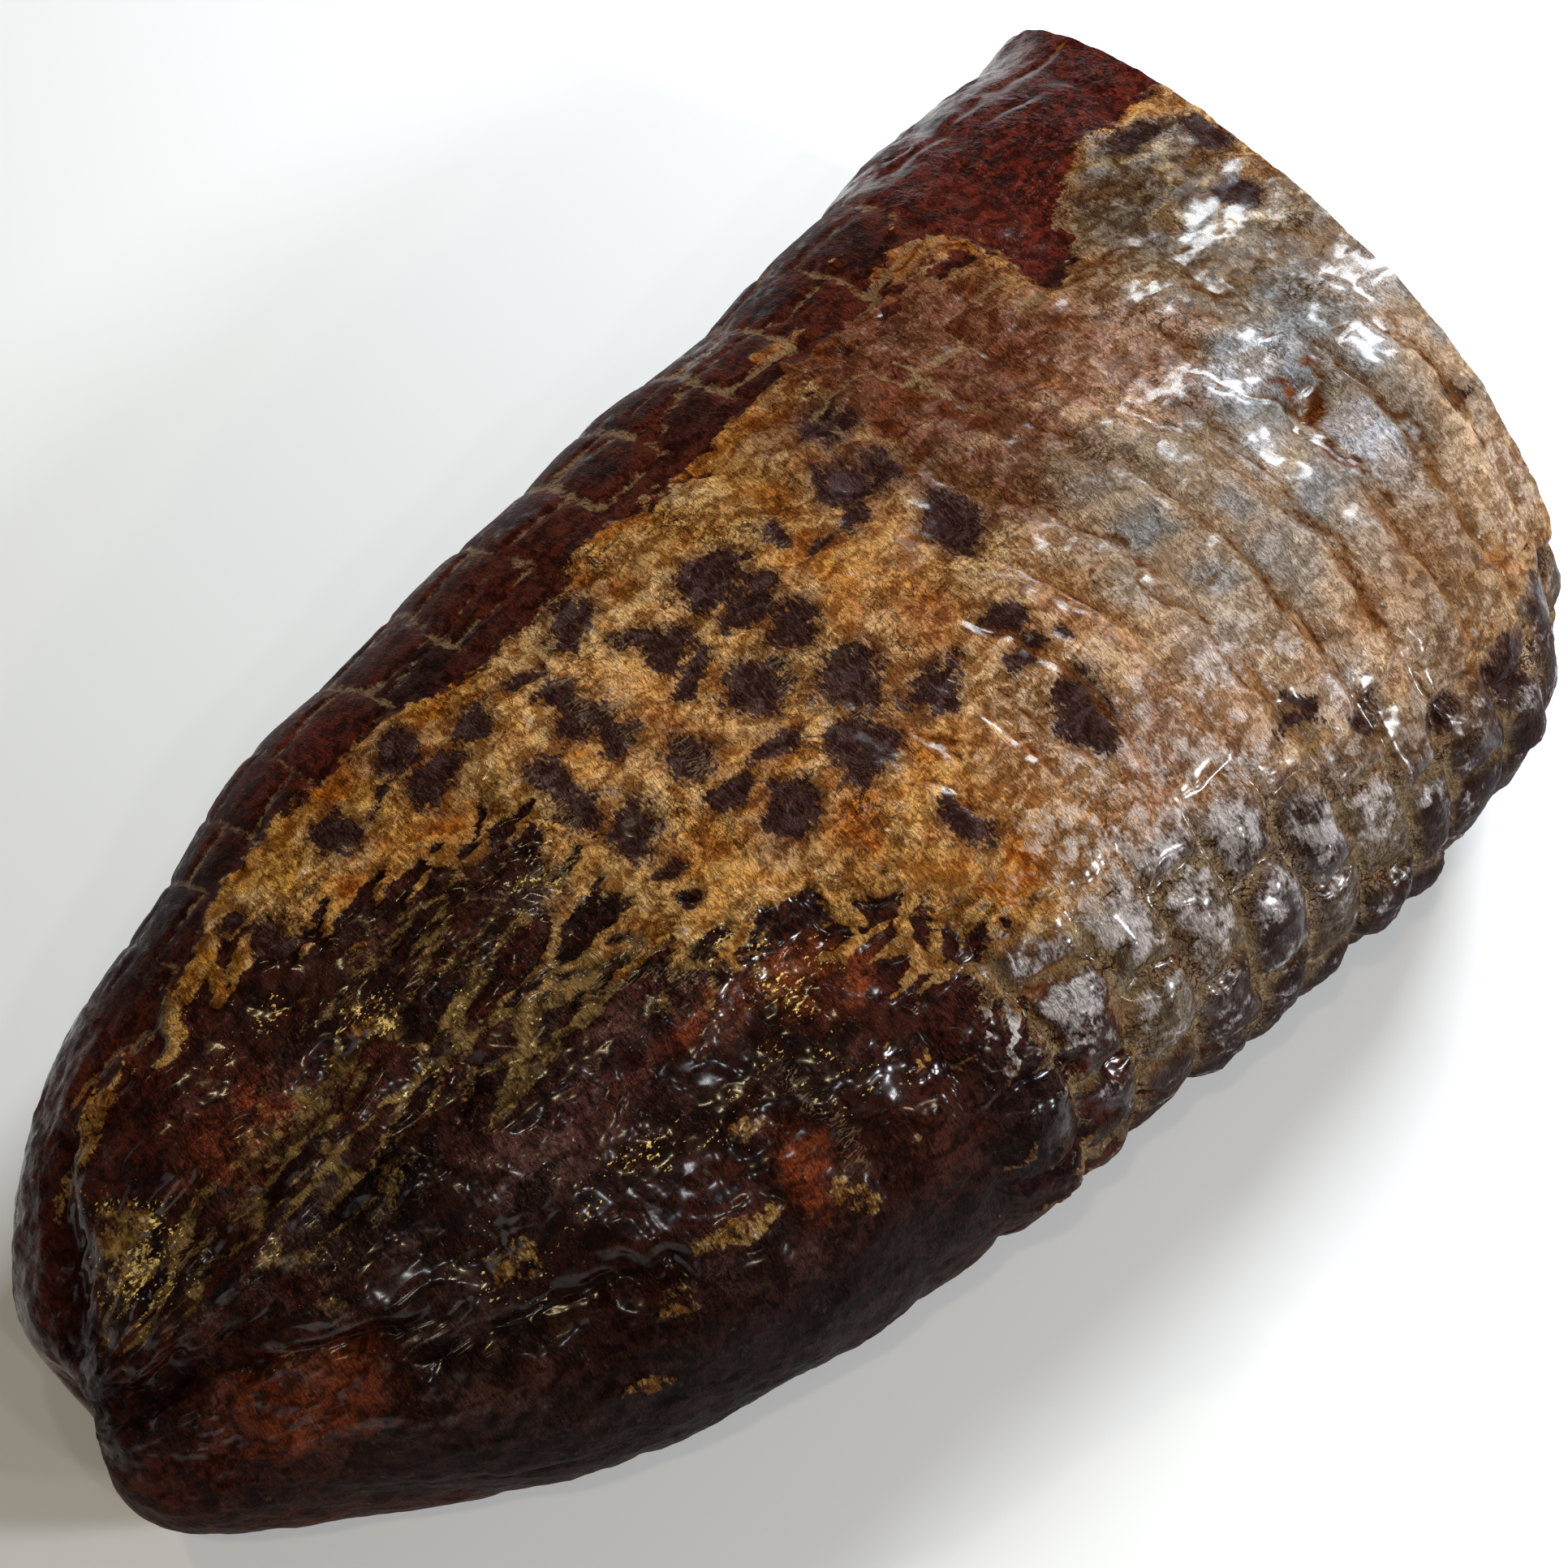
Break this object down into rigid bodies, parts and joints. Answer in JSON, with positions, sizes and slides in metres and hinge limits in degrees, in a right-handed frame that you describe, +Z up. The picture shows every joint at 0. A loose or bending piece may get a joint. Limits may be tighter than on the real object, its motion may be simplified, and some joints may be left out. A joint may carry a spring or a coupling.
{
  "type": "cecina",
  "caption": "Large piece of cured, air-dried beef with net marks, rounded nose and a straight cut across its thick end.",
  "frame": {"origin": "under the middle of the piece, on the surface it lies on", "axes": "+X along the piece from the rounded nose to the cut, +Y towards the bare lean side, +Z up"},
  "size_m": [0.3526, 0.2088, 0.1035],
  "materials": {
    "cured_beef": "dried lean and fat, oily, mottled ochre, tan, mauve and dark red-brown"
  },
  "bodies": {
    "root": {"cecina": "cured_beef"}
  },
  "joints": []
}
